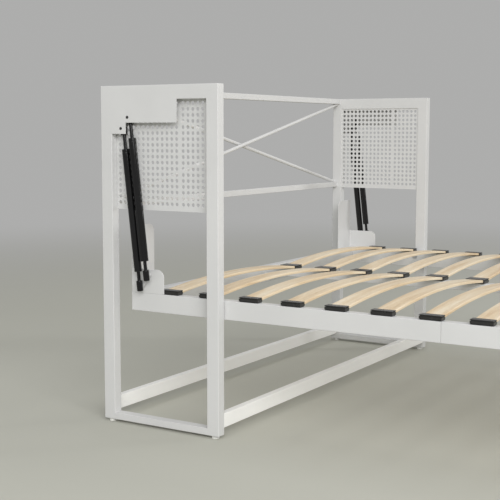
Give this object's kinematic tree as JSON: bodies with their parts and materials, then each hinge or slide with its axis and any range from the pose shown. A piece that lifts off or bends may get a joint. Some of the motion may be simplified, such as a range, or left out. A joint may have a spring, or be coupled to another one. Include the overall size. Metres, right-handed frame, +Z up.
{
  "type": "vertical wall bed",
  "caption": "Metal wall bed that tilts up on its head end between two side frames, with gas springs, perforated panels, cross brace and bowed wooden slats.",
  "frame": {"origin": "on the floor, at the middle of the overall width and length with the bed lowered", "axes": "+X across the bed to the right side frame seen from the foot looking at the wall, +Y from the foot to the wall, +Z up"},
  "size_m": [1.489, 2.09, 0.976],
  "materials": {
    "frame_paint": "semi-gloss powder coat",
    "rail_paint": "whiter semi-gloss powder coat",
    "slat_wood": "clear satin lacquer on layered birch",
    "cap_plastic": "black, slightly glossy",
    "glide_plastic": "off-white nylon, matt",
    "spring_black": "gloss black",
    "rod_black": "polished, black nitrided",
    "stud_black": "black",
    "fixing_steel": "zinc plated"
  },
  "bodies": {
    "frame": {"left_rear_post": "frame_paint", "left_front_post": "frame_paint", "left_top_rail": "frame_paint", "left_bottom_rail": "frame_paint", "left_spring_plate": "frame_paint", "left_perforated_panel": "frame_paint", "right_rear_post": "frame_paint", "right_front_post": "frame_paint", "right_top_rail": "frame_paint", "right_bottom_rail": "frame_paint", "right_spring_plate": "frame_paint", "right_perforated_panel": "frame_paint", "back_top_rail": "frame_paint", "back_lower_rail": "frame_paint", "brace_rod_front": "frame_paint", "brace_rod_rear": "frame_paint", "front_floor_rail": "rail_paint", "rear_floor_rail": "rail_paint", "floor_glides": "glide_plastic", "upper_spring_studs": "stud_black", "pivot_bolts": "fixing_steel"},
    "bed": {"left_head_rail": "frame_paint", "left_foot_rail": "frame_paint", "right_head_rail": "frame_paint", "right_foot_rail": "frame_paint", "head_cross_rail": "frame_paint", "foot_cross_rail": "frame_paint", "centre_head_rail": "frame_paint", "centre_foot_rail": "frame_paint", "left_head_bracket": "frame_paint", "right_head_bracket": "frame_paint", "rocker_pins": "fixing_steel", "pivot_bushes": "glide_plastic", "rail_splices": "fixing_steel", "splice_screws": "fixing_steel", "left_slat_caps": "cap_plastic", "right_slat_caps": "cap_plastic", "centre_slat_holders": "cap_plastic", "left_slats": "slat_wood", "right_slats": "slat_wood", "leg_hinge_bolts": "fixing_steel"},
    "leg": {"left_leg_tube": "frame_paint", "right_leg_tube": "frame_paint", "leg_cross_bar": "frame_paint", "leg_glides": "glide_plastic"},
    "left_front_rod_body": {"left_front_rod": "rod_black"},
    "left_front_cylinder_body": {"left_front_cylinder": "spring_black", "left_front_socket": "spring_black"},
    "left_rear_rod_body": {"left_rear_rod": "rod_black"},
    "left_rear_cylinder_body": {"left_rear_cylinder": "spring_black", "left_rear_socket": "spring_black"},
    "left_rocker_body": {"left_rocker": "frame_paint"},
    "right_front_rod_body": {"right_front_rod": "rod_black"},
    "right_front_cylinder_body": {"right_front_cylinder": "spring_black", "right_front_socket": "spring_black"},
    "right_rear_rod_body": {"right_rear_rod": "rod_black"},
    "right_rear_cylinder_body": {"right_rear_cylinder": "spring_black", "right_rear_socket": "spring_black"},
    "right_rocker_body": {"right_rocker": "frame_paint"}
  },
  "joints": [
    {"name": "bed_tilt", "type": "hinge", "parent": "frame", "child": "bed", "pos_m": [0, 0.669, 0.372], "axis": [-1, 0, 0], "range_deg": [0, 90]},
    {"name": "leg_fold", "type": "hinge", "parent": "bed", "child": "leg", "pos_m": [0, -0.9695, 0.3455], "axis": [1, 0, 0], "range_deg": [0, 90]},
    {"name": "left_front_swing", "type": "hinge", "parent": "frame", "child": "left_front_rod_body", "pos_m": [-0.7305, 0.9503, 0.8872], "axis": [-1, 0, 0], "range_deg": [0, 11.42]},
    {"name": "left_front_stroke", "type": "slide", "parent": "left_front_rod_body", "child": "left_front_cylinder_body", "axis": [0, -0.1154, -0.9933], "range_m": [0, 0.32805]},
    {"name": "left_rear_swing", "type": "hinge", "parent": "frame", "child": "left_rear_rod_body", "pos_m": [-0.7305, 0.9737, 0.8558], "axis": [-1, 0, 0], "range_deg": [0, 11.42]},
    {"name": "left_rear_stroke", "type": "slide", "parent": "left_rear_rod_body", "child": "left_rear_cylinder_body", "axis": [0, -0.1154, -0.9933], "range_m": [0, 0.32805]},
    {"name": "left_rocker_turn", "type": "hinge", "parent": "left_front_cylinder_body", "child": "left_rocker_body", "pos_m": [-0.7305, 0.8983, 0.43945], "axis": [1, 0, 0], "range_deg": [0, 11.42]},
    {"name": "right_front_swing", "type": "hinge", "parent": "frame", "child": "right_front_rod_body", "pos_m": [0.7305, 0.9503, 0.8872], "axis": [-1, 0, 0], "range_deg": [0, 11.42]},
    {"name": "right_front_stroke", "type": "slide", "parent": "right_front_rod_body", "child": "right_front_cylinder_body", "axis": [0, -0.1154, -0.9933], "range_m": [0, 0.32805]},
    {"name": "right_rear_swing", "type": "hinge", "parent": "frame", "child": "right_rear_rod_body", "pos_m": [0.7305, 0.9737, 0.8558], "axis": [-1, 0, 0], "range_deg": [0, 11.42]},
    {"name": "right_rear_stroke", "type": "slide", "parent": "right_rear_rod_body", "child": "right_rear_cylinder_body", "axis": [0, -0.1154, -0.9933], "range_m": [0, 0.32805]},
    {"name": "right_rocker_turn", "type": "hinge", "parent": "right_front_cylinder_body", "child": "right_rocker_body", "pos_m": [0.7305, 0.8983, 0.43945], "axis": [1, 0, 0], "range_deg": [0, 11.42]}
  ],
  "couplings": [
    {"joint": "left_front_swing", "follows": "bed_tilt", "ratio": 0.1269},
    {"joint": "left_front_stroke", "follows": "bed_tilt", "m_per_rad": 0.20884},
    {"joint": "left_rear_swing", "follows": "bed_tilt", "ratio": 0.1269},
    {"joint": "left_rear_stroke", "follows": "bed_tilt", "m_per_rad": 0.20884},
    {"joint": "left_rocker_turn", "follows": "bed_tilt", "ratio": 0.1269},
    {"joint": "right_front_swing", "follows": "bed_tilt", "ratio": 0.1269},
    {"joint": "right_front_stroke", "follows": "bed_tilt", "m_per_rad": 0.20884},
    {"joint": "right_rear_swing", "follows": "bed_tilt", "ratio": 0.1269},
    {"joint": "right_rear_stroke", "follows": "bed_tilt", "m_per_rad": 0.20884},
    {"joint": "right_rocker_turn", "follows": "bed_tilt", "ratio": 0.1269}
  ]
}
